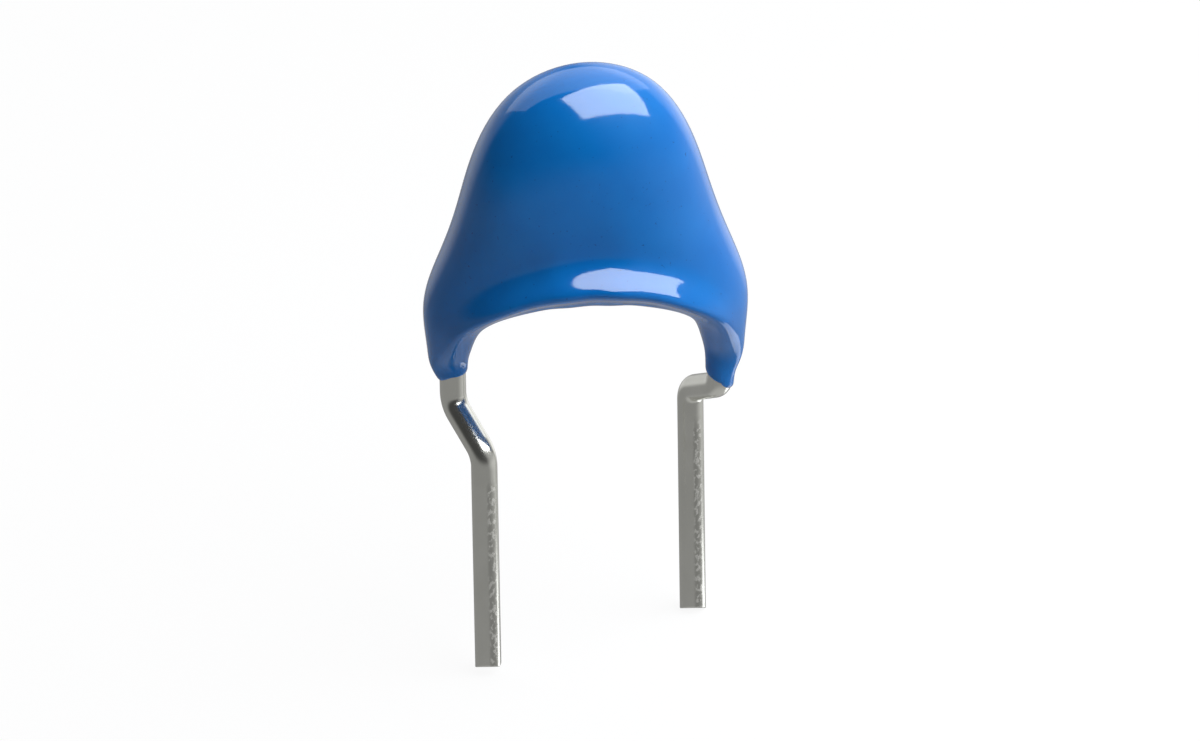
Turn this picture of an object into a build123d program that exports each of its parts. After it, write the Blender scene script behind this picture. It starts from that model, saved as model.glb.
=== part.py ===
"""Ceramic disc capacitor: a dipped disc on two kinked wire leads.

Millimetres. X runs across the leads, +Z is up and -Y is the front. The origin lies midway
between the leads on the seating plane, where the straight leg of the left lead begins.
"""
from build123d import *
from math import atan2, cos, degrees, exp, hypot, radians, sin, tan
import os

os.makedirs("parts", exist_ok=True)

# Ceramic disc, standing upright, with a metal electrode fired on each face
disc_diameter = 3.4
disc_thickness = 1.7
disc_edge = 0.12
electrode_thickness = 0.03
electrode_margin = 0.3

# Wire leads: the left one on the rear face, the right one on the front face. Each rises from
# its leg, kinks out to its face, and turns in to the disc's centre at a shoulder.
lead_diameter = 0.55
lead_pitch = 5.0
left_leg_length = 4.8
right_leg_length = 4.9
right_kink_lift = 0.12
kink_angle = 62
kink_radius = 0.45
shoulder_rise = 0.2
shoulder_radius = 0.7
lead_overlap = 0.2
tip_chamfer = 0.05

# Solder that beds each lead on its electrode
solder_film = 0.08
solder_length = 2.0
solder_width = 1.1
solder_height = 0.34
solder_slope = 30

# Resin coat: how thick it lies over what it covers, how far up its legs end, and how its arch
# and the rolled lip round its foot are shaped
crown_coat = 1.03
face_coat = 0.13
under_coat = 0.35
leg_side_coat = 0.24
leg_arch_coat = 0.12
leg_face_coat = 0.285
edge_coat = 0.04
left_bare_length = 0.35
right_bare_length = 0.08
coat_leg_length = 0.65
arch_rise = 1.57
lip_radius = 0.48
lip_rise = 0.18
lip_flare = 0.52
lip_reach = 0.32
twist_start = 0.6
twist_end = 2.6

# Places that follow from the sizes above, from the disc outwards
lead_radius = lead_diameter / 2
face_y = disc_thickness / 2
electrode_y = face_y + electrode_thickness
lead_y = electrode_y + solder_film + lead_radius
lead_x = lead_pitch / 2
electrode_diameter = disc_diameter - 2 * electrode_margin

# and from the seating plane upwards
bend_run = kink_radius * tan(radians(kink_angle) / 2)
kink_rise = lead_y / tan(radians(kink_angle))
kink_height = 2 * bend_run + kink_rise
left_coat_end = kink_height + left_bare_length
right_coat_end = right_kink_lift + kink_height + right_bare_length
pivot_z = left_coat_end + coat_leg_length
arch_z = pivot_z + arch_rise
shoulder_z = arch_z + shoulder_rise
disc_z = arch_z + under_coat + disc_diameter / 2
crown_z = disc_z + disc_diameter / 2 + crown_coat

FRONT = -1
REAR = 1
LEFT = -1
RIGHT = 1


def disc_face(y, face):
    """Plane parallel to the disc's faces, centred on the disc and looking outwards."""
    return Plane(origin=(0, face * y, disc_z), x_dir=(1, 0, 0), z_dir=(0, face, 0))


def make_disc():
    blank = extrude(disc_face(face_y, FRONT) * Circle(disc_diameter / 2), -disc_thickness)
    return fillet(blank.edges().filter_by(GeomType.CIRCLE), disc_edge)


def make_electrode(face):
    return extrude(disc_face(face_y, face) * Circle(electrode_diameter / 2), electrode_thickness)


def make_lead(side, face, leg_length, kink_start):
    """Round wire from its cut tip up to its end on the disc."""
    x = side * lead_x
    y = face * lead_y
    shoulder = Vector(x, y, shoulder_z)
    centre = Vector(0, y, disc_z)
    corners = [
        Vector(x, 0, -leg_length),
        Vector(x, 0, kink_start + bend_run),
        Vector(x, y, kink_start + bend_run + kink_rise),
        shoulder,
        centre + (centre - shoulder).normalized() * lead_overlap,
    ]
    path = FilletPolyline(*corners, radius=[kink_radius, kink_radius, shoulder_radius])
    wire = sweep(Plane(origin=path @ 0, z_dir=path % 0) * Circle(lead_radius), path=path)
    return chamfer(wire.edges().group_by(Axis.Z)[0], tip_chamfer)


def make_solder(side, face, lead):
    """Sloped mound along the lead, hollowed to the lead's shape."""
    shoulder = Vector(side * lead_x, face * electrode_y, shoulder_z)
    centre = Vector(0, face * electrode_y, disc_z)
    bed = Plane(origin=centre, x_dir=centre - shoulder, z_dir=(0, face, 0))
    outline = bed * SlotOverall(solder_length, solder_width)
    return extrude(outline, solder_height, taper=solder_slope) - lead


# The coat's legs stand on a slant, because one lead is in front of the disc and one behind it.
# It is lofted in a frame that runs through both legs, through ribs that swing about a pivot
# below the arch, from the right leg (0 degrees) over the crown to the left leg, and then turned
# to that slant. Both halves are alike. A rib's shares say how far it has gone from the leg to the
# body: out to the crown, in its depth, in the squareness of its foot, in its lip, and how much
# of its height is rounded over like a dome.
rib_angles = (0, 20, 40, 52, 62, 75, 90)
crown_shares = (0.00, 0.09, 0.18, 0.33, 0.56, 0.88, 1.00)
depth_shares = (0.00, 0.38, 0.68, 0.79, 0.88, 1.00, 1.00)
foot_shares = (0.00, 0.40, 0.90, 1.00, 1.00, 1.00, 1.00)
lip_shares = (0.00, 0.58, 0.97, 1.04, 1.04, 1.00, 1.00)
dome_shares = (1.00, 1.00, 0.95, 0.90, 0.84, 0.86, 0.68)
leg_shares = (1.00, 0.70, 0.35)

# Where a rib's points lie: round its foot, and up its side to its tip
foot_angles = (0, 15, 30, 45, 60, 75, 90)
side_angles = (2, 4, 6, 8, 11, 16, 24, 34, 46, 58, 70, 80, 90)

# Powers of a rib's rounding at the leg and at the middle of the body, and the body's twist back
# towards the disc, as sideways shift for each length along the slant
leg_foot_power = 1.0
body_foot_power = 0.17
leg_dome_power = 2.0
body_dome_power = 2.3
body_twist = 0.12

body_depth = lead_y + lead_radius + face_coat
leg_reach = hypot(lead_x, lead_y)
leg_depth = lead_radius + leg_face_coat
leg_inner = leg_reach - lead_radius - leg_arch_coat
leg_outer = leg_reach + lead_radius + leg_side_coat
leg_half = (leg_outer - leg_inner) / 2
end_radius = lead_radius + edge_coat
coat_slant = degrees(atan2(lead_y, lead_x))


def mix(start, end, share):
    return start + (end - start) * share


def rib_plane(angle, z):
    turn = radians(angle)
    return Plane(origin=(0, 0, z), x_dir=(cos(turn), 0, sin(turn)), z_dir=(-sin(turn), 0, cos(turn)))


def half_rib(length, depth, foot, foot_power, dome, dome_power, flare):
    """Points from the middle of a rib's foot out and up to its tip: height up the rib and depth."""
    points = []
    for angle in foot_angles:
        turn = radians(angle)
        points.append((foot * (1 - cos(turn)), depth * sin(turn) ** foot_power))
    for angle in side_angles:
        height = foot + (length - foot) * sin(radians(angle))
        over = max(0, (height - length + dome) / dome)
        points.append((height, depth * (1 - min(1, over) ** dome_power) ** (1 / dome_power)))
    rolled = []
    for height, out in points:
        lip = flare * exp(-(((height - foot - lip_rise) / lip_reach) ** 2))
        rolled.append((height, out + lip * (out / depth) ** 2))
    return rolled


def rib(plane, angle, inner, outer, depth, foot, foot_power, dome, dome_power, flare):
    """Closed section in two splines that meet squarely at the rib's foot and tip."""
    front = []
    rear = []
    for height, out in half_rib(outer - inner, depth, foot, foot_power, dome, dome_power, flare):
        reach = inner + height
        rise = min(1, max(0, (height - twist_start) / (twist_end - twist_start)))
        middle = body_twist * rise ** 2 * (3 - 2 * rise) * reach * cos(radians(angle))
        front.append((reach, middle - out))
        rear.append((reach, middle + out))
    rear_edge = Spline(*rear, tangents=[(0, 1), (0, -1)])
    front_edge = Spline(*front[::-1], tangents=[(0, -1), (0, 1)])
    return Wire([plane * rear_edge, plane * front_edge])


def leg_ribs(angle, coat_end):
    """Level sections of one leg, from its thin edge on the wire to just below the pivot.

    The leg thins early inside the arch and on its faces, and late on its outer side.
    """
    sections = []
    for share in leg_shares:
        early = 1 - (1 - share) ** 2
        late = share ** 2
        inner = mix(leg_inner, leg_reach - end_radius, early)
        outer = mix(leg_outer, leg_reach + end_radius, late)
        depth = mix(leg_depth, end_radius, early)
        half = (outer - inner) / 2
        plane = rib_plane(angle, mix(pivot_z, coat_end, share))
        section = rib(plane, angle, inner, outer, depth, half, leg_foot_power, half, leg_dome_power, 0)
        sections.append(section)
    return sections


def body_ribs(mirrored):
    """Sections of one half, from the pivot's level up to the middle."""
    sections = []
    rows = zip(rib_angles, crown_shares, depth_shares, foot_shares, lip_shares, dome_shares)
    for angle, crown_share, depth_share, foot_share, lip_share, dome_share in rows:
        turn = radians(angle)
        inner = 1 / hypot(cos(turn) / leg_inner, sin(turn) / arch_rise)
        outer = mix(leg_outer, crown_z - pivot_z, crown_share)
        depth = mix(leg_depth, body_depth, depth_share)
        foot = mix(leg_half, lip_radius, foot_share)
        foot_power = mix(leg_foot_power, body_foot_power, foot_share)
        dome = (outer - inner - foot) * dome_share
        dome_power = mix(leg_dome_power, body_dome_power, angle / 90)
        side = 180 - angle if mirrored else angle
        plane = rib_plane(side, pivot_z)
        flare = lip_flare * lip_share
        sections.append(rib(plane, side, inner, outer, depth, foot, foot_power, dome, dome_power, flare))
    return sections


def make_coat(contents):
    right = leg_ribs(0, right_coat_end) + body_ribs(False)
    left = leg_ribs(180, left_coat_end) + body_ribs(True)
    coat = Rot(0, 0, -coat_slant) * Solid.make_loft(right + left[-2::-1])
    for piece in contents:
        coat = coat - piece
    return coat


disc = make_disc()
front_electrode = make_electrode(FRONT)
rear_electrode = make_electrode(REAR)
left_lead = make_lead(LEFT, REAR, left_leg_length, 0)
right_lead = make_lead(RIGHT, FRONT, right_leg_length, right_kink_lift)
rear_solder = make_solder(LEFT, REAR, left_lead)
front_solder = make_solder(RIGHT, FRONT, right_lead)
contents = [disc, front_electrode, rear_electrode, front_solder, rear_solder, left_lead, right_lead]

nodes = {
    "resin_coating": make_coat(contents),
    "ceramic_disc": disc,
    "front_electrode": front_electrode,
    "rear_electrode": rear_electrode,
    "front_solder": front_solder,
    "rear_solder": rear_solder,
    "left_lead": left_lead,
    "right_lead": right_lead,
}
for name, shape in nodes.items():
    print(name, "solids", len(shape.solids()), "volume", round(shape.volume, 4))
    export_step(shape, f"parts/{name}.step")
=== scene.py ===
# %% [markdown]
# # A ceramic disc capacitor
#
# The real part is a small ceramic disc with a wire soldered to each face, dipped in blue resin
# so that the resin runs down both wires and hangs in an arch between them. The CAD model holds
# its exact sizes. Here it gets its looks: a smooth glossy coat, dull tinned wires, and the
# light of a small product photograph. Lengths are in millimetres until a mesh is finished.

# %% Load the frame
import math

import bmesh
import bpy
import numpy as np
from mathutils import Matrix, Vector


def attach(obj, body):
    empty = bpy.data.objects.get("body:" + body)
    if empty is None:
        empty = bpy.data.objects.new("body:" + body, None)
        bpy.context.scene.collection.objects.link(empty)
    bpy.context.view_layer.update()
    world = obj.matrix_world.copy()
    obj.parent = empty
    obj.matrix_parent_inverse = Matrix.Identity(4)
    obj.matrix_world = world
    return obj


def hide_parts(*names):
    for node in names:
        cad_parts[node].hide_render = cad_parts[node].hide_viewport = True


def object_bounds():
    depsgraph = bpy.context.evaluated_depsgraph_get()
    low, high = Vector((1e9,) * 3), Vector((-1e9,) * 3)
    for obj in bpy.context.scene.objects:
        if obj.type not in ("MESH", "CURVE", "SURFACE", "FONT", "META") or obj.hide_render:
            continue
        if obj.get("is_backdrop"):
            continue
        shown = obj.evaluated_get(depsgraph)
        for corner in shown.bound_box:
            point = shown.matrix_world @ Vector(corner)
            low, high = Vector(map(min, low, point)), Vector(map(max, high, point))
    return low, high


MM = 0.001

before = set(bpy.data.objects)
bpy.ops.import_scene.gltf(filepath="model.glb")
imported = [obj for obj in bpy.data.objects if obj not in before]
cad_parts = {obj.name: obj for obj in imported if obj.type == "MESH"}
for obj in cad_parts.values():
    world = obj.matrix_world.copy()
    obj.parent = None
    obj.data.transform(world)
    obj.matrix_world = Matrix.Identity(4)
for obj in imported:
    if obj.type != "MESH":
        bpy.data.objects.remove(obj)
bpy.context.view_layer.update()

# %% [markdown]
# ## Camera
#
# The photograph looks down on the front from the left with almost no perspective, so the lens
# is very long. The camera's sideways and upward directions follow from two angles, and a small
# roll turns them, because the real part leans a little in the picture.

# %% Camera
PHOTO_WIDTH = 1200
PHOTO_PIXELS_PER_MM = 48.04
VIEW_TURN = math.radians(30.5)
VIEW_RISE = math.radians(28.5)
VIEW_ROLL = math.radians(0.9)
LENS = 400.0
SENSOR = 36.0
CLIP_NEAR, CLIP_FAR = 0.01, 5.0
AIM_RIGHT = 0.277
AIM_UP = 1.337


def direction(turn, rise):
    """Way out from the part: turned from the front to its right, and raised, in radians."""
    level = math.cos(rise)
    return Vector((math.sin(turn) * level, -math.cos(turn) * level, math.sin(rise)))


sideways = Vector((math.cos(VIEW_TURN), -math.sin(VIEW_TURN), 0))
towards = direction(-VIEW_TURN, VIEW_RISE)
upwards = towards.cross(sideways)
rolled_side = sideways * math.cos(VIEW_ROLL) - upwards * math.sin(VIEW_ROLL)
rolled_up = sideways * math.sin(VIEW_ROLL) + upwards * math.cos(VIEW_ROLL)

aim = sideways * AIM_RIGHT + upwards * AIM_UP
distance = PHOTO_WIDTH / PHOTO_PIXELS_PER_MM * LENS / SENSOR
camera_data = bpy.data.cameras.new("camera")
camera_data.lens = LENS
camera_data.sensor_width = SENSOR
camera_data.clip_start = CLIP_NEAR
camera_data.clip_end = CLIP_FAR
camera = bpy.data.objects.new("camera", camera_data)
stand = Matrix((rolled_side, rolled_up, towards)).transposed().to_4x4()
stand.translation = (aim + towards * distance) * MM
camera.matrix_world = stand
bpy.context.scene.collection.objects.link(camera)
bpy.context.scene.camera = camera
print("camera stands", round(distance), "mm away")

# %% [markdown]
# ## Helpers for pieces
#
# Every piece is made in its own bmesh in millimetres. When it is finished its mesh is scaled to
# metres, so the object itself stays at the origin, unturned and unscaled, and its patterns stay
# where they are when it is exported.

# %% Finish a piece


def finish_piece(bm, name, replaced):
    """Turn a bmesh in millimetres into a smooth piece that stands for a CAD node."""
    bmesh.ops.recalc_face_normals(bm, faces=bm.faces)
    bmesh.ops.scale(bm, vec=(MM, MM, MM), verts=bm.verts)
    mesh = bpy.data.meshes.new(name)
    bm.to_mesh(mesh)
    bm.free()
    mesh.shade_smooth()
    piece = bpy.data.objects.new(name, mesh)
    bpy.context.scene.collection.objects.link(piece)
    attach(piece, "root")
    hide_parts(replaced)
    print(name, "has", len(mesh.polygons), "faces")
    return piece


def ring_of(verts):
    """The edges that join these vertices to each other."""
    inside = set(verts)
    return [edge for edge in {e for v in verts for e in v.link_edges} if set(edge.verts) <= inside]


# %% [markdown]
# ## Wire leads
#
# Each lead is one round wire: a straight leg, a kink that carries it out to its face of the
# disc, and a shoulder that turns it in towards the disc's centre. A curve with a bevel could do
# it, but a circle that is extruded along the straights and spun round the bends gives clean
# rings and bends of an exact radius, as a forming tool makes them.

# %% Lead sizes
LEAD_RADIUS = 0.275
LEAD_X = 2.5
LEAD_Y = 1.235
KINK_ANGLE = math.radians(62)
KINK_RADIUS = 0.45
BEND_RUN = KINK_RADIUS * math.tan(KINK_ANGLE / 2)
KINK_RISE = LEAD_Y / math.tan(KINK_ANGLE)
KINK_HEIGHT = 2 * BEND_RUN + KINK_RISE
SHOULDER_RADIUS = 0.7
SHOULDER_Z = 3.967
DISC_Z = 5.817
LEAD_OVERLAP = 0.2
LEFT_LEG_LENGTH, RIGHT_LEG_LENGTH = 4.8, 4.9
LEFT_KINK_START, RIGHT_KINK_START = 0.0, 0.12
LEFT, RIGHT = -1, 1
FRONT, REAR = -1, 1
print("each kink is", round(KINK_HEIGHT, 2), "mm high")

# %% Bend a wire
WIRE_SIDES = 32
BEND_STEPS = 14


def run_on(bm, ring, step):
    """Extrude the wire's open end straight on by a step and return the new end."""
    made = bmesh.ops.extrude_edge_only(bm, edges=ring_of(ring))["geom"]
    end = [item for item in made if isinstance(item, bmesh.types.BMVert)]
    bmesh.ops.translate(bm, vec=step, verts=end)
    return end


def bend_on(bm, ring, centre, axis, angle):
    """Spin the wire's open end round a bend and return the new end."""
    made = bmesh.ops.spin(
        bm, geom=list(ring) + ring_of(ring), cent=centre, axis=axis, angle=angle,
        steps=BEND_STEPS, use_merge=False,
    )["geom_last"]
    return [item for item in made if isinstance(item, bmesh.types.BMVert)]


# %% [markdown]
# The wires were nipped off with side cutters. Their two blades leave a blunt wedge, its edge
# across the wire, and the left tip lost a corner as well. The wire starts a little too long. Each
# nip is a plane that cuts it and leaves a flat face, and the new edges are eased with a bevel.

# %% Nip a tip
TIP_SPARE = 0.4
TIP_TOP = 0.4
TIP_EDGE = 0.02
TIP_CREASE = math.radians(30)
WEDGE_SLOPE = math.radians(32)
CORNER_SLOPE, CORNER_BELOW = math.radians(45), 0.17
FRONT_NIP = (-VIEW_TURN, WEDGE_SLOPE, 0.0)
REAR_NIP = (math.pi - VIEW_TURN, WEDGE_SLOPE, 0.0)
CORNER_NIP = (math.pi / 2 - VIEW_TURN, CORNER_SLOPE, -CORNER_BELOW)


def nip(bm, tip, nips):
    """Cut the tip by planes, each with its turn, its slope and its height where the axis meets it."""
    for turn, slope, height in nips:
        cut = bmesh.ops.bisect_plane(
            bm, geom=bm.verts[:] + bm.edges[:] + bm.faces[:], clear_outer=True,
            plane_co=tip + Vector((0, 0, height)), plane_no=direction(turn, slope - math.pi / 2),
        )["geom_cut"]
        bmesh.ops.edgeloop_fill(bm, edges=[e for e in cut if isinstance(e, bmesh.types.BMEdge)])
    low_edges = [e for e in bm.edges if e.verts[0].co.z < tip.z + TIP_TOP and len(e.link_faces) == 2]
    sharp = [e for e in low_edges if e.calc_face_angle() > TIP_CREASE]
    bmesh.ops.bevel(
        bm, geom=sharp, offset=TIP_EDGE, affect="EDGES", segments=2, profile=0.5, material=-1
    )


# %% Two leads
LEFT_NIPS = (FRONT_NIP, REAR_NIP, CORNER_NIP)
RIGHT_NIPS = (FRONT_NIP, REAR_NIP)


def make_lead(name, side, face, leg_length, kink_start, nips):
    """Wire on one side and one face of the disc, from its nipped tip to its soldered end."""
    bm = bmesh.new()
    x, y = side * LEAD_X, face * LEAD_Y
    tip = Vector((x, 0, -leg_length))
    tip_ring = bmesh.ops.create_circle(
        bm, segments=WIRE_SIDES, radius=LEAD_RADIUS, cap_ends=False
    )["verts"]
    bmesh.ops.translate(bm, vec=tip - Vector((0, 0, TIP_SPARE)), verts=tip_ring)
    ring = run_on(bm, tip_ring, Vector((0, 0, leg_length + TIP_SPARE + kink_start)))

    kink_top = kink_start + KINK_HEIGHT
    low_centre = Vector((x, face * KINK_RADIUS, kink_start))
    high_centre = Vector((x, y - face * KINK_RADIUS, kink_top))
    lean = Vector((0, face * math.sin(KINK_ANGLE), math.cos(KINK_ANGLE)))
    slant = math.hypot(LEAD_Y, KINK_RISE) - 2 * BEND_RUN
    ring = bend_on(bm, ring, low_centre, Vector((-face, 0, 0)), KINK_ANGLE)
    ring = run_on(bm, ring, lean * slant)
    ring = bend_on(bm, ring, high_centre, Vector((face, 0, 0)), KINK_ANGLE)

    shoulder, disc_centre = Vector((x, y, SHOULDER_Z)), Vector((0, y, DISC_Z))
    inwards = (disc_centre - shoulder).normalized()
    turn = math.acos(inwards.z)
    turn_run = SHOULDER_RADIUS * math.tan(turn / 2)
    ring = run_on(bm, ring, Vector((0, 0, SHOULDER_Z - turn_run - kink_top)))
    bend_centre = Vector((x - side * SHOULDER_RADIUS, y, SHOULDER_Z - turn_run))
    ring = bend_on(bm, ring, bend_centre, Vector((0, -side, 0)), turn)
    last_run = (disc_centre - shoulder).length + LEAD_OVERLAP - turn_run
    ring = run_on(bm, ring, inwards * last_run)

    for end in (ring, tip_ring):
        bmesh.ops.edgeloop_fill(bm, edges=ring_of(end))
    nip(bm, tip, nips)
    return finish_piece(bm, name + "_wire", name)


left_wire = make_lead("left_lead", LEFT, REAR, LEFT_LEG_LENGTH, LEFT_KINK_START, LEFT_NIPS)
right_wire = make_lead("right_lead", RIGHT, FRONT, RIGHT_LEG_LENGTH, RIGHT_KINK_START, RIGHT_NIPS)

# %% [markdown]
# ## Resin coat
#
# The coat is what the camera mostly sees. When the part is lifted out of the resin, the wet coat
# hangs between the wires like a curtain: thick over the disc, thin on the wires, and rolled into
# a lip along its lower edge. It could be sculpted from a ball, but its sections are known, so it
# is built like a ship's hull. A section stands at each station, and the stations swing about a
# pivot under the arch from the right wire over the crown to the left one.

# %% Coat sizes
LEFT_COAT_END, RIGHT_COAT_END = 1.547, 1.397
PIVOT_Z, CROWN_Z = 2.197, 8.547
ARCH_RISE = 1.57
ARCH_COAT, SIDE_COAT, FACE_COAT, EDGE_COAT = 0.12, 0.24, 0.285, 0.04
LEG_REACH = math.hypot(LEAD_X, LEAD_Y)
LEG_INNER = LEG_REACH - (LEAD_RADIUS + ARCH_COAT)
LEG_OUTER = LEG_REACH + (LEAD_RADIUS + SIDE_COAT)
LEG_DEPTH, BODY_DEPTH = LEAD_RADIUS + FACE_COAT, 1.64
END_RADIUS = LEAD_RADIUS + EDGE_COAT
LEG_FOOT_POWER, BODY_FOOT_POWER = 1.0, 0.17
LEG_DOME_POWER, BODY_DOME_POWER = 2.0, 2.3
LIP_RADIUS, LIP_RISE, LIP_FLARE, LIP_REACH = 0.48, 0.18, 0.52, 0.32
TWIST, TWIST_START, TWIST_END = 0.12, 0.6, 2.6
COAT_SLANT = math.atan2(LEAD_Y, LEAD_X)
print("coat stands at", round(math.degrees(COAT_SLANT), 1), "degrees to the row of leads")

# %% [markdown]
# One half of a section runs from the middle of its foot, round the lip and up its side to the
# tip. The foot is a quarter of a rounded bead, the top a dome, and the lip a soft swelling just
# above the bead. A leg's section is the same curve with a round foot and no lip.

# %% Half a section
FOOT_STEPS, SIDE_STEPS = 20, 44
SIDE_CROWDING = 1.4


def mix(start, end, share):
    return start + (end - start) * share


def half_section(step, length, depth, foot, foot_power, dome, dome_power, flare):
    """Height above the foot and depth of the skin, some steps along from foot to tip."""
    if step <= FOOT_STEPS:
        out = math.sin(math.pi / 2 * step / FOOT_STEPS)
        height = foot * (1 - math.sqrt(max(0, 1 - out ** (2 / foot_power))))
    else:
        turn = math.pi / 2 * ((step - FOOT_STEPS) / SIDE_STEPS) ** SIDE_CROWDING
        height = foot + (length - foot) * math.sin(turn)
        over = min(1, max(0, (height - length + dome) / dome))
        out = (1 - over ** dome_power) ** (1 / dome_power)
    lip = flare * math.exp(-(((height - foot - LIP_RISE) / LIP_REACH) ** 2))
    return height, depth * out + lip * out ** 2


def section(angle, level, inner, outer, *form):
    """All points of one section, standing at an angle about an axis at some level."""
    half = FOOT_STEPS + SIDE_STEPS
    points = []
    for i in range(2 * half):
        step, face = (i, 1) if i <= half else (2 * half - i, -1)
        height, out = half_section(step, outer - inner, *form)
        reach = inner + height
        rise = min(1, max(0, (height - TWIST_START) / (TWIST_END - TWIST_START)))
        middle = TWIST * rise ** 2 * (3 - 2 * rise) * reach * math.cos(angle)
        points.append((reach * math.cos(angle), middle + face * out, level + reach * math.sin(angle)))
    return points


def round_section(angle, level, inner, outer, depth):
    """Section of a leg: an oval round the wire, without a lip."""
    half = (outer - inner) / 2
    form = (depth, half, LEG_FOOT_POWER, half, LEG_DOME_POWER, 0)
    return section(angle, level, inner, outer, *form)


# %% [markdown]
# The legs taper down to a thin edge on the wire. Resin never stops at a clean line there: it
# creeps further down the outer side of the wire than the inner one, so the edge is drawn up on
# the inner side and waves a little. On the right wire it has crept on round the start of the
# kink, so that leg gets one more station, a ring that is turned about the axis of the bend.

# %% Stations of the legs
LEG_STATIONS = (1.0, 0.7, 0.35)
LEFT_DRAW, RIGHT_DRAW = 0.17, 0.24
EDGE_WAVE, WAVE_COUNT = 0.02, 3
RIGHT_KINK_TOP = RIGHT_KINK_START + KINK_HEIGHT
CREEP_ANGLE, CREEP_POWER = math.radians(28), 0.4
INNER_CREEP = 0.08


def leg_sections(side, coat_end, draw):
    """Sections of one leg from its thin edge up, drawn up on the inner side of the wire."""
    angle = 0 if side == RIGHT else math.pi
    sections = []
    for share in LEG_STATIONS:
        early, late = 1 - (1 - share) ** 2, share ** 2
        inner = mix(LEG_INNER, LEG_REACH - END_RADIUS, early)
        outer = mix(LEG_OUTER, LEG_REACH + END_RADIUS, late)
        depth = mix(LEG_DEPTH, END_RADIUS, early)
        points = round_section(angle, 0, inner, outer, depth)
        drawn = []
        for i, (x, y, _) in enumerate(points):
            around = math.tau * i / len(points)
            drawn_up = draw * (1 + math.cos(around)) / 2
            edge = coat_end + drawn_up + EDGE_WAVE * math.sin(WAVE_COUNT * around)
            drawn.append((x, y, mix(PIVOT_Z, edge, share)))
        sections.append(drawn)
    return sections


def crept_section():
    """End of the right leg's coat, turned round the start of the kink, least on its inner side."""
    inner, outer = LEG_REACH - END_RADIUS, LEG_REACH + END_RADIUS
    ring = round_section(0, RIGHT_KINK_TOP, inner, outer, END_RADIUS)
    centre = Vector((LEAD_X, KINK_RADIUS - LEAD_Y, RIGHT_KINK_TOP))
    to_wire = Matrix.Rotation(-COAT_SLANT, 3, "Z")
    crept = []
    for i, point in enumerate(ring):
        inwards = (1 + math.cos(math.tau * i / len(ring))) / 2
        turn = Matrix.Rotation(CREEP_ANGLE * (1 - inwards) ** CREEP_POWER, 3, "X")
        moved = centre + turn @ (to_wire @ Vector(point) - centre)
        moved += Vector((0, 0, INNER_CREEP * inwards))
        crept.append(tuple(to_wire.transposed() @ moved))
    return crept


# %% [markdown]
# In the body each station says how far the section has gone from the leg to the middle: out to
# the crown, in its depth, in the squareness of its foot and in its lip. The last row is how much
# of its height is rounded over like a dome.

# %% Stations of the body
BODY_STATIONS = {
    "angle": (0, 20, 40, 52, 62, 75, 90),
    "crown": (0.00, 0.09, 0.18, 0.33, 0.56, 0.88, 1.00),
    "depth": (0.00, 0.38, 0.68, 0.79, 0.88, 1.00, 1.00),
    "foot": (0.00, 0.40, 0.90, 1.00, 1.00, 1.00, 1.00),
    "lip": (0.00, 0.58, 0.97, 1.04, 1.04, 1.00, 1.00),
    "dome": (1.00, 1.00, 0.95, 0.90, 0.84, 0.86, 0.68),
}


def body_sections(side):
    """Sections of one half of the body, from the level of the pivot up to the middle."""
    sections = []
    for angle, crown, depth, foot, lip, dome in zip(*BODY_STATIONS.values()):
        turn = math.radians(angle)
        inner = 1 / math.hypot(math.cos(turn) / LEG_INNER, math.sin(turn) / ARCH_RISE)
        outer = mix(LEG_OUTER, CROWN_Z - PIVOT_Z, crown)
        bead = mix((LEG_OUTER - LEG_INNER) / 2, LIP_RADIUS, foot)
        form = (
            mix(LEG_DEPTH, BODY_DEPTH, depth), bead, mix(LEG_FOOT_POWER, BODY_FOOT_POWER, foot),
            (outer - inner - bead) * dome, mix(LEG_DOME_POWER, BODY_DOME_POWER, angle / 90),
            LIP_FLARE * lip,
        )
        swing = turn if side == RIGHT else math.pi - turn
        sections.append(section(swing, PIVOT_Z, inner, outer, *form))
    return sections


# %% [markdown]
# A gloss surface shows every change of curvature, so straight runs between stations would show
# as bands. Each line of points is carried through all the stations on a cubic spline, the
# springy batten of a boat builder, whose curvature never jumps.

# %% Batten through the stations
RING_GAP = 0.2


def batten(knots, stations, places):
    """Natural cubic spline through the stations' points, read at the given places."""
    gaps = np.diff(knots)
    slopes = np.diff(stations, axis=0) / gaps[:, None, None]
    count = len(knots)
    bends = np.eye(count)
    loads = np.zeros(stations.shape)
    for i in range(1, count - 1):
        bends[i, i - 1:i + 2] = gaps[i - 1], 2 * (gaps[i - 1] + gaps[i]), gaps[i]
        loads[i] = 6 * (slopes[i] - slopes[i - 1])
    curves = np.linalg.solve(bends, loads.reshape(count, -1)).reshape(loads.shape)
    rows = []
    for place in places:
        i = min(np.searchsorted(knots, place, side="right") - 1, count - 2)
        gap, after, before = gaps[i], place - knots[i], knots[i + 1] - place
        rows.append(
            (curves[i] * before ** 3 + curves[i + 1] * after ** 3) / (6 * gap)
            + (stations[i] / gap - curves[i] * gap / 6) * before
            + (stations[i + 1] / gap - curves[i + 1] * gap / 6) * after
        )
    return rows


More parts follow.
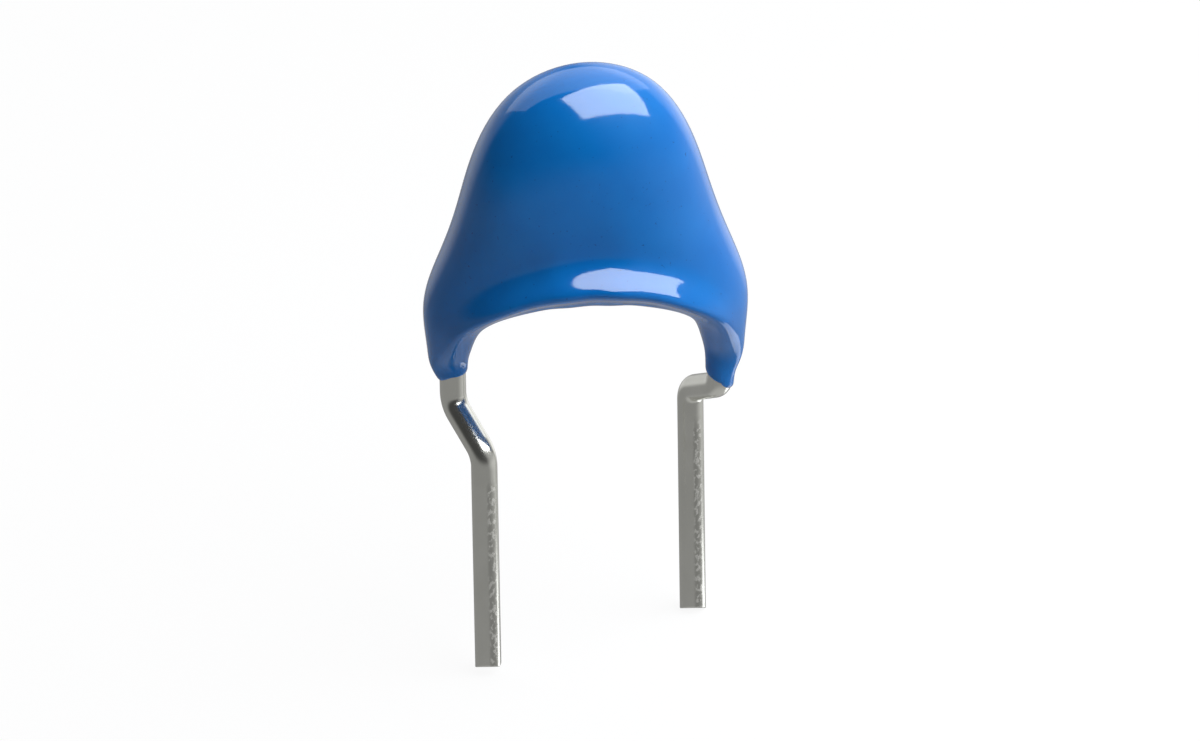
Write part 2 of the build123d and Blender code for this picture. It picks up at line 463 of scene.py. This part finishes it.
right_leg = [crept_section()] + leg_sections(RIGHT, RIGHT_COAT_END, RIGHT_DRAW)
left_leg = leg_sections(LEFT, LEFT_COAT_END, LEFT_DRAW)
right_half = right_leg + body_sections(RIGHT)
left_half = left_leg + body_sections(LEFT)
stations = np.array(right_half + left_half[-2::-1])
spans = np.linalg.norm(np.diff(stations, axis=0), axis=2).mean(axis=1)
knots = np.concatenate([[0], np.cumsum(spans)])
places = [knots[0]]
for low, high in zip(knots, knots[1:]):
    steps = max(2, round((high - low) / RING_GAP))
    places += [mix(low, high, (i + 1) / steps) for i in range(steps)]
print(len(stations), "stations carry", len(places), "rings of", stations.shape[1], "points")

# %% Coat
END_INSET = 0.85
bm = bmesh.new()
rings = []
for row in batten(knots, stations, places):
    ring = bmesh.ops.create_circle(bm, segments=len(row), radius=1, cap_ends=False)["verts"]
    for vert, point in zip(ring, row):
        vert.co = point
    rings.append(ring)
for lower, upper in zip(rings, rings[1:]):
    bmesh.ops.bridge_loops(bm, edges=ring_of(lower) + ring_of(upper))
for ring in (rings[0], rings[-1]):
    rim = run_on(bm, ring, Vector((0, 0, 0)))
    middle = sum((vert.co for vert in rim), Vector()) / len(rim)
    bmesh.ops.scale(bm, vec=(END_INSET,) * 3, space=Matrix.Translation(-middle), verts=rim)
    bmesh.ops.edgeloop_fill(bm, edges=ring_of(rim))
bmesh.ops.rotate(bm, cent=(0, 0, 0), matrix=Matrix.Rotation(-COAT_SLANT, 3, "Z"), verts=bm.verts)
coat = finish_piece(bm, "coat", "resin_coating")
smoothing = coat.modifiers.new("smoothing", "SUBSURF")
smoothing.levels = smoothing.render_levels = 1

# %% [markdown]
# ## Steps in a node tree
#
# Every finish, the paper and the room need the same three steps: a value that ramps between two
# limits, a sum or product of two values, and a blend of two colours. Each helper lays one node
# and hands back its output, so that the steps can be chained like a formula.

# %% Node helpers
RAMP_SOCKETS = ("From Min", "From Max", "To Min", "To Max")


def ramp(tree, value, start, end, low, high, soft=True):
    """A value that goes from low to high between a start and an end, softly or straight."""
    node = tree.nodes.new("ShaderNodeMapRange")
    node.interpolation_type = "SMOOTHSTEP" if soft else "LINEAR"
    for label, number in zip(RAMP_SOCKETS, (start, end, low, high)):
        node.inputs[label].default_value = number
    tree.links.new(value, node.inputs["Value"])
    return node.outputs["Result"]


def combine(tree, operation, first, second=None, clamp=False):
    """One step of arithmetic on values or plain numbers."""
    node = tree.nodes.new("ShaderNodeMath")
    node.operation = operation
    node.use_clamp = clamp
    for socket, value in zip(node.inputs, (first, second)):
        if isinstance(value, float):
            socket.default_value = value
        elif value is not None:
            tree.links.new(value, socket)
    return node.outputs[0]


def blend_colour(tree, share, first, second):
    """A colour that goes from the first to the second as the share rises."""
    node = tree.nodes.new("ShaderNodeMix")
    node.data_type = "RGBA"
    for socket, value in zip((node.inputs[6], node.inputs[7]), (first, second)):
        if isinstance(value, tuple):
            socket.default_value = (*value, 1)
        else:
            tree.links.new(value, socket)
    tree.links.new(share, node.inputs[0])
    return node.outputs[2]


# %% [markdown]
# ## Shared grain
#
# No surface here is even: the resin has run and dried, the wire was drawn through a die, the
# ceramic was pressed from powder. One node group serves them all. It lays a coarse noise and a
# fine noise over the surface and picks rare spots out of the fine one, and each material gives
# it sizes of its own.

# %% Grain group
GRAIN_INPUTS = {
    "Vector": "Vector", "Coarse Scale": "Float", "Fine Scale": "Float", "Spot Level": "Float",
}
NOISE_DETAIL = {"Coarse Scale": 3.0, "Fine Scale": 2.0}
BLOTCH_LOW, BLOTCH_HIGH = 0.3, 0.7
SPOT_GAIN = 12.0

grain = bpy.data.node_groups.new("grain", "ShaderNodeTree")
for label, kind in GRAIN_INPUTS.items():
    grain.interface.new_socket(label, in_out="INPUT", socket_type="NodeSocket" + kind)
grain_in = grain.nodes.new("NodeGroupInput").outputs
noises = {}
for label, detail in NOISE_DETAIL.items():
    noise = grain.nodes.new("ShaderNodeTexNoise")
    noise.inputs["Detail"].default_value = detail
    grain.links.new(grain_in["Vector"], noise.inputs["Vector"])
    grain.links.new(grain_in[label], noise.inputs["Scale"])
    noises[label] = noise.outputs["Fac"]
fine = noises["Fine Scale"]
blotches = ramp(grain, noises["Coarse Scale"], BLOTCH_LOW, BLOTCH_HIGH, 0.0, 1.0, soft=False)
peaks = combine(grain, "SUBTRACT", fine, grain_in["Spot Level"], clamp=True)
spots = combine(grain, "MULTIPLY", peaks, SPOT_GAIN, clamp=True)
grain_outputs = {"Blotches": blotches, "Fine": fine, "Spots": spots}
for label in grain_outputs:
    grain.interface.new_socket(label, in_out="OUTPUT", socket_type="NodeSocketFloat")
grain_out = grain.nodes.new("NodeGroupOutput").inputs
for label, value in grain_outputs.items():
    grain.links.new(value, grain_out[label])
print("grain group has", len(grain.nodes), "nodes")

# %% Material helpers


def new_material(name, coarse, fine, spot_level, stretch=(1, 1, 1)):
    """Material with a grain on object coordinates, its sizes given in millimetres."""
    material = bpy.data.materials.new(name)
    material.use_nodes = True
    tree = material.node_tree
    place = tree.nodes.new("ShaderNodeTexCoord")
    mapping = tree.nodes.new("ShaderNodeMapping")
    mapping.inputs["Scale"].default_value = stretch
    tree.links.new(place.outputs["Object"], mapping.inputs["Vector"])
    texture = tree.nodes.new("ShaderNodeGroup")
    texture.node_tree = grain
    texture.inputs["Coarse Scale"].default_value = 1 / (coarse * MM)
    texture.inputs["Fine Scale"].default_value = 1 / (fine * MM)
    texture.inputs["Spot Level"].default_value = spot_level
    tree.links.new(mapping.outputs["Vector"], texture.inputs["Vector"])
    return material, tree, tree.nodes["Principled BSDF"], texture.outputs


def span_value(tree, share, low, high):
    """A number that goes from low to high as the share goes from nought to one."""
    return ramp(tree, share, 0.0, 1.0, low, high, soft=False)


def raise_bump(tree, shader, height, depth, strength):
    """Unevenness of a depth in millimetres, as seen by the light."""
    node = tree.nodes.new("ShaderNodeBump")
    node.inputs["Strength"].default_value = strength
    node.inputs["Distance"].default_value = depth * MM
    tree.links.new(height, node.inputs["Height"])
    tree.links.new(node.outputs["Normal"], shader.inputs["Normal"])


# %% [markdown]
# ## Blue resin
#
# The coat is glossy pigmented epoxy. Its blue is a little uneven, it has rare dark flecks of
# pigment, and its skin has the fine orange peel that breaks up the edges of its highlights. A
# clear layer over a rougher one would also shine, but the peel has to reach the reflections, so
# one smooth layer does both.

# %% Blue resin
RESIN_DARK, RESIN_LIGHT = (0.0005, 0.14, 0.49), (0.002, 0.166, 0.54)
RESIN_FLECK = (0.0, 0.06, 0.22)
RESIN_ROUGHNESS = (0.06, 0.1)
RESIN_IOR = 1.5
PEEL_DEPTH, PEEL_STRENGTH = 0.003, 0.3
resin, tree, shader, texture = new_material("blue_resin", coarse=1.6, fine=0.075, spot_level=0.7)
body = blend_colour(tree, texture["Blotches"], RESIN_DARK, RESIN_LIGHT)
flecked = blend_colour(tree, texture["Spots"], body, RESIN_FLECK)
tree.links.new(flecked, shader.inputs["Base Color"])
gloss = span_value(tree, texture["Blotches"], *RESIN_ROUGHNESS)
tree.links.new(gloss, shader.inputs["Roughness"])
shader.inputs["IOR"].default_value = RESIN_IOR
raise_bump(tree, shader, texture["Fine"], PEEL_DEPTH, PEEL_STRENGTH)
coat.data.materials.append(resin)
print(resin.name, "has", len(tree.nodes), "nodes")

# %% [markdown]
# ## Tinned wire
#
# The wire is steel with a satin skin of tin, smooth enough to mirror the lamps in its kinks. Along
# the front of each straight leg runs a thin line of bright and dull flecks. A mask finds that line:
# close to the leg's axis across the leg, in front of it, and below the kink.

# %% Line of flecks
LINE_ASIDE = (0.06, 0.13)
LINE_FRONT = (-0.1, 0.0)
LINE_TOP = (-0.5, -0.1)
tin, tree, shader, texture = new_material(
    "tinned_wire", coarse=0.5, fine=0.09, spot_level=0.5, stretch=(1, 1, 0.7)
)


def edge_mask(tree, value, start, end):
    """One where the value is below the start, nought above the end, both in millimetres."""
    return ramp(tree, value, start * MM, end * MM, 1.0, 0.0)


spot = tree.nodes.new("ShaderNodeTexCoord")
split = tree.nodes.new("ShaderNodeSeparateXYZ")
tree.links.new(spot.outputs["Object"], split.inputs["Vector"])
aside = combine(tree, "SUBTRACT", combine(tree, "ABSOLUTE", split.outputs["X"]), LEAD_X * MM)
line = edge_mask(tree, combine(tree, "ABSOLUTE", aside), *LINE_ASIDE)
for axis, limits in (("Y", LINE_FRONT), ("Z", LINE_TOP)):
    line = combine(tree, "MULTIPLY", line, edge_mask(tree, split.outputs[axis], *limits))
# Bright flecks in the line along the front of each leg, picked from the fine grain.
line_flecks = combine(tree, "MULTIPLY", line, texture["Spots"])

# %% Tinned wire
SATIN_DARK, SATIN_LIGHT = (0.66, 0.66, 0.61), (0.71, 0.71, 0.66)
LINE_DULL, LINE_BRIGHT = (0.52, 0.52, 0.48), (0.86, 0.86, 0.81)
SATIN_ROUGHNESS, FLECK_ROUGHNESS = (0.2, 0.26), 0.3
BUMP_OFF_LINE = 0.1
TIN_DEPTH, TIN_STRENGTH = 0.004, 0.3
satin = blend_colour(tree, texture["Blotches"], SATIN_DARK, SATIN_LIGHT)
# Along that line the tin is duller, with the bright flecks laid over it.
lined_tin = blend_colour(tree, line, satin, LINE_DULL)
tree.links.new(blend_colour(tree, line_flecks, lined_tin, LINE_BRIGHT), shader.inputs["Base Color"])
shader.inputs["Metallic"].default_value = 1.0
skin = span_value(tree, texture["Blotches"], *SATIN_ROUGHNESS)
dull = span_value(tree, line_flecks, 0.0, FLECK_ROUGHNESS)
tree.links.new(combine(tree, "MAXIMUM", skin, dull), shader.inputs["Roughness"])
height = combine(tree, "MULTIPLY", texture["Fine"], span_value(tree, line, BUMP_OFF_LINE, 1.0))
raise_bump(tree, shader, height, TIN_DEPTH, TIN_STRENGTH)
for wire in (left_wire, right_wire):
    wire.data.materials.append(tin)
print(tin.name, "has", len(tree.nodes), "nodes")

# %% [markdown]
# ## Inside the coat
#
# The disc, its two silver faces and the solder stay as the CAD model has them, hidden in the
# resin. They still get finishes of their own for anyone who cuts the part open: a chalky fired
# body, painted silver with a dry matt grain, and bright solder with slow ripples.

# %% Hidden finishes
INNER_FINISHES = {
    "fired_ceramic": {
        "nodes": ("ceramic_disc",),
        "grain": {"coarse": 0.5, "fine": 0.05, "spot_level": 0.66},
        "colours": ((0.56, 0.46, 0.34), (0.68, 0.58, 0.46)),
        "metallic": 0.0, "roughness": (0.7, 0.9), "depth": 0.01,
    },
    "fired_silver": {
        "nodes": ("front_electrode", "rear_electrode"),
        "grain": {"coarse": 0.3, "fine": 0.04, "spot_level": 0.66},
        "colours": ((0.74, 0.74, 0.71), (0.86, 0.86, 0.84)),
        "metallic": 1.0, "roughness": (0.4, 0.6), "depth": 0.006,
    },
    "solder": {
        "nodes": ("front_solder", "rear_solder"),
        "grain": {"coarse": 0.35, "fine": 0.12, "spot_level": 0.72},
        "colours": ((0.6, 0.6, 0.6), (0.72, 0.72, 0.72)),
        "metallic": 1.0, "roughness": (0.15, 0.35), "depth": 0.02,
    },
}
INNER_STRENGTH = 0.5
for name, finish in INNER_FINISHES.items():
    material, tree, shader, texture = new_material(name, **finish["grain"])
    dark, light = finish["colours"]
    tone = blend_colour(tree, texture["Blotches"], dark, light)
    tree.links.new(blend_colour(tree, texture["Spots"], tone, dark), shader.inputs["Base Color"])
    dull = span_value(tree, texture["Fine"], *finish["roughness"])
    tree.links.new(dull, shader.inputs["Roughness"])
    shader.inputs["Metallic"].default_value = finish["metallic"]
    raise_bump(tree, shader, texture["Fine"], finish["depth"], INNER_STRENGTH)
    for node_name in finish["nodes"]:
        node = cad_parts[node_name]
        node.data.materials.clear()
        node.data.materials.append(material)
    print(name, "dresses", ", ".join(finish["nodes"]))

# %% [markdown]
# ## Paper floor
#
# The photograph stands the part on nothing but white. Here it stands on a sheet of white paper,
# which the camera sees as almost pure white while it still takes a soft shadow. The gloss of the
# coat shows the studio below and in front of the part, not milky paper, so the sheet keeps out of
# the reflections.

# %% Floor
FLOOR_Z = -4.9
PAPER_SIZE = 160.0
bm = bmesh.new()
bmesh.ops.create_grid(bm, x_segments=1, y_segments=1, size=PAPER_SIZE / 2)
bmesh.ops.translate(bm, vec=(0, 0, FLOOR_Z), verts=bm.verts)
bmesh.ops.scale(bm, vec=(MM, MM, MM), verts=bm.verts)
mesh = bpy.data.meshes.new("floor")
bm.to_mesh(mesh)
bm.free()
floor = bpy.data.objects.new("floor", mesh)
bpy.context.scene.collection.objects.link(floor)
floor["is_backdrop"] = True
floor.visible_glossy = False
floor.visible_shadow = False
print("paper is", round(PAPER_SIZE), "mm square")

# %% White paper
PAPER_GLOW = 0.92
PAPER_WHITE, PAPER_BOUNCE = (0.9, 0.9, 0.9), (0.45, 0.45, 0.45)
paper = bpy.data.materials.new("white_paper")
paper.use_nodes = True
tree = paper.node_tree
tree.nodes.remove(tree.nodes["Principled BSDF"])
sheet = tree.nodes.new("ShaderNodeBsdfDiffuse")
glow = tree.nodes.new("ShaderNodeEmission")
camera_ray = tree.nodes.new("ShaderNodeLightPath").outputs["Is Camera Ray"]
tone = blend_colour(tree, camera_ray, PAPER_BOUNCE, PAPER_WHITE)
tree.links.new(tone, sheet.inputs["Color"])
both = tree.nodes.new("ShaderNodeMixShader")
tree.links.new(combine(tree, "MULTIPLY", camera_ray, PAPER_GLOW), both.inputs[0])
tree.links.new(sheet.outputs["BSDF"], both.inputs[1])
tree.links.new(glow.outputs["Emission"], both.inputs[2])
tree.links.new(both.outputs["Shader"], tree.nodes["Material Output"].inputs["Surface"])
mesh.materials.append(paper)
print(paper.name, "has", len(tree.nodes), "nodes")

# %% [markdown]
# ## Light
#
# One softbox high on the right makes the bright window on the dome and the long streak in the
# lip. A second lamp high behind draws the pale band along the upper left rim. Each is given by
# its turn, rise and roll in degrees, half its size as seen from the part, and its brightness. A
# real softbox is much brighter in a mirror than the plain light that a colour should be judged
# in, so each lamp is a pair: one half only lights, and the other, just in front of it, only shows
# in reflections. The softbox's light comes from a little lower than its mirror image, because the
# room throws some of it back. A small bright patch of table, low on the right, is only mirrored.

# %% Lamps
LAMP_AWAY = 60.0
MIRROR_NEARER = 0.96
LAMP_AIM = Vector((0, 0, 5))
LAMP_COLOUR = (0.95, 0.97, 1.0)
WINDOW = (47, 61, -38, 0.61, 0.47)
SPILL = (47, 48, -38, 0.61, 0.47)
RIM = (155, 52, 0, 1.0, 0.6)
TABLE = (88, -52, 0, 0.2, 0.2)
LIGHTS = {"window_light": (*SPILL, 4.3), "rim_light": (*RIM, 0.7)}
MIRRORS = {"window_gloss": (*WINDOW, 9.0), "rim_gloss": (*RIM, 1.2), "table_gloss": (*TABLE, 1.6)}


def softbox(name, mirrored, turn, rise, roll, half_wide, half_high, brightness):
    """Flat lamp that looks at the part, and either lights it or only shows in its gloss."""
    lamp = bpy.data.lights.new(name, "AREA")
    lamp.shape = "RECTANGLE"
    away = LAMP_AWAY * (MIRROR_NEARER if mirrored else 1)
    wide, high = 2 * half_wide * away, 2 * half_high * away
    lamp.size, lamp.size_y = wide * MM, high * MM
    lamp.energy = brightness * math.pi * lamp.size * lamp.size_y
    lamp.color = LAMP_COLOUR
    holder = bpy.data.objects.new(name, lamp)
    out = direction(math.radians(turn), math.radians(rise))
    across = Vector((math.cos(math.radians(turn)), math.sin(math.radians(turn)), 0))
    facing = Matrix((across, out.cross(across), out)).transposed().to_4x4()
    facing = facing @ Matrix.Rotation(math.radians(roll), 4, "Z")
    facing.translation = (LAMP_AIM + out * away) * MM
    holder.matrix_world = facing
    holder.visible_camera = False
    holder.visible_diffuse = not mirrored
    holder.visible_glossy = mirrored
    bpy.context.scene.collection.objects.link(holder)
    print(name, "is", round(wide), "by", round(high), "mm")


for mirrored, lamps in ((False, LIGHTS), (True, MIRRORS)):
    for name, settings in lamps.items():
        softbox(name, mirrored, *settings)

# %% [markdown]
# The room itself is bright to the right and behind, where the studio's white walls are, and dim
# in front. Below the part it is a little brighter, from the table. The world gives that by
# direction, as three soft lobes and two steps by height. A lobe has its turn and rise in degrees,
# the cosines at which it starts and is full, and its brightness. The camera alone sees the room
# plain white, so that the paper has no visible end.

# %% Room
FRONT_ABOVE, FRONT_BELOW = 0.06, 0.33
HORIZON_BLUR = 0.2
TABLE_BRIGHT, TABLE_FULL, TABLE_END = 0.2, -0.95, -0.75
WALLS = ((80, 25, 0.1, 0.8, 0.4), (122, 5, 0.82, 0.96, 1.0), (185, 8, 0.8, 0.95, 0.45))
WHITE = (1, 1, 1, 1)
world = bpy.data.worlds.new("studio")
bpy.context.scene.world = world
world.use_nodes = True
tree = world.node_tree
looking = tree.nodes.new("ShaderNodeTexCoord").outputs["Generated"]
wall = 0.0
for turn, rise, start, end, bright in WALLS:
    lobe = tree.nodes.new("ShaderNodeVectorMath")
    lobe.operation = "DOT_PRODUCT"
    lobe.inputs[1].default_value = direction(math.radians(turn), math.radians(rise))
    tree.links.new(looking, lobe.inputs[0])
    glow = ramp(tree, lobe.outputs["Value"], start, end, 0.0, bright)
    wall = combine(tree, "MAXIMUM", wall, glow)
split = tree.nodes.new("ShaderNodeSeparateXYZ")
tree.links.new(looking, split.inputs["Vector"])
height = split.outputs["Z"]
level = ramp(tree, height, -HORIZON_BLUR, HORIZON_BLUR, FRONT_BELOW, FRONT_ABOVE)
table = ramp(tree, height, TABLE_FULL, TABLE_END, TABLE_BRIGHT, 0.0)
studio = tree.nodes["Background"]
studio.inputs["Color"].default_value = WHITE
glow = combine(tree, "ADD", wall, combine(tree, "ADD", level, table))
tree.links.new(glow, studio.inputs["Strength"])
plain = tree.nodes.new("ShaderNodeBackground")
plain.inputs["Color"].default_value = WHITE
camera_ray = tree.nodes.new("ShaderNodeLightPath").outputs["Is Camera Ray"]
both = tree.nodes.new("ShaderNodeMixShader")
tree.links.new(camera_ray, both.inputs[0])
tree.links.new(studio.outputs["Background"], both.inputs[1])
tree.links.new(plain.outputs["Background"], both.inputs[2])
tree.links.new(both.outputs["Shader"], tree.nodes["World Output"].inputs["Surface"])
bpy.context.scene.view_settings.view_transform = "Standard"
print("room has", len(tree.nodes), "nodes")

# %% Sizes and finish
low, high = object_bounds()
print("visual box in mm:", [round(side / MM, 2) for side in high - low])
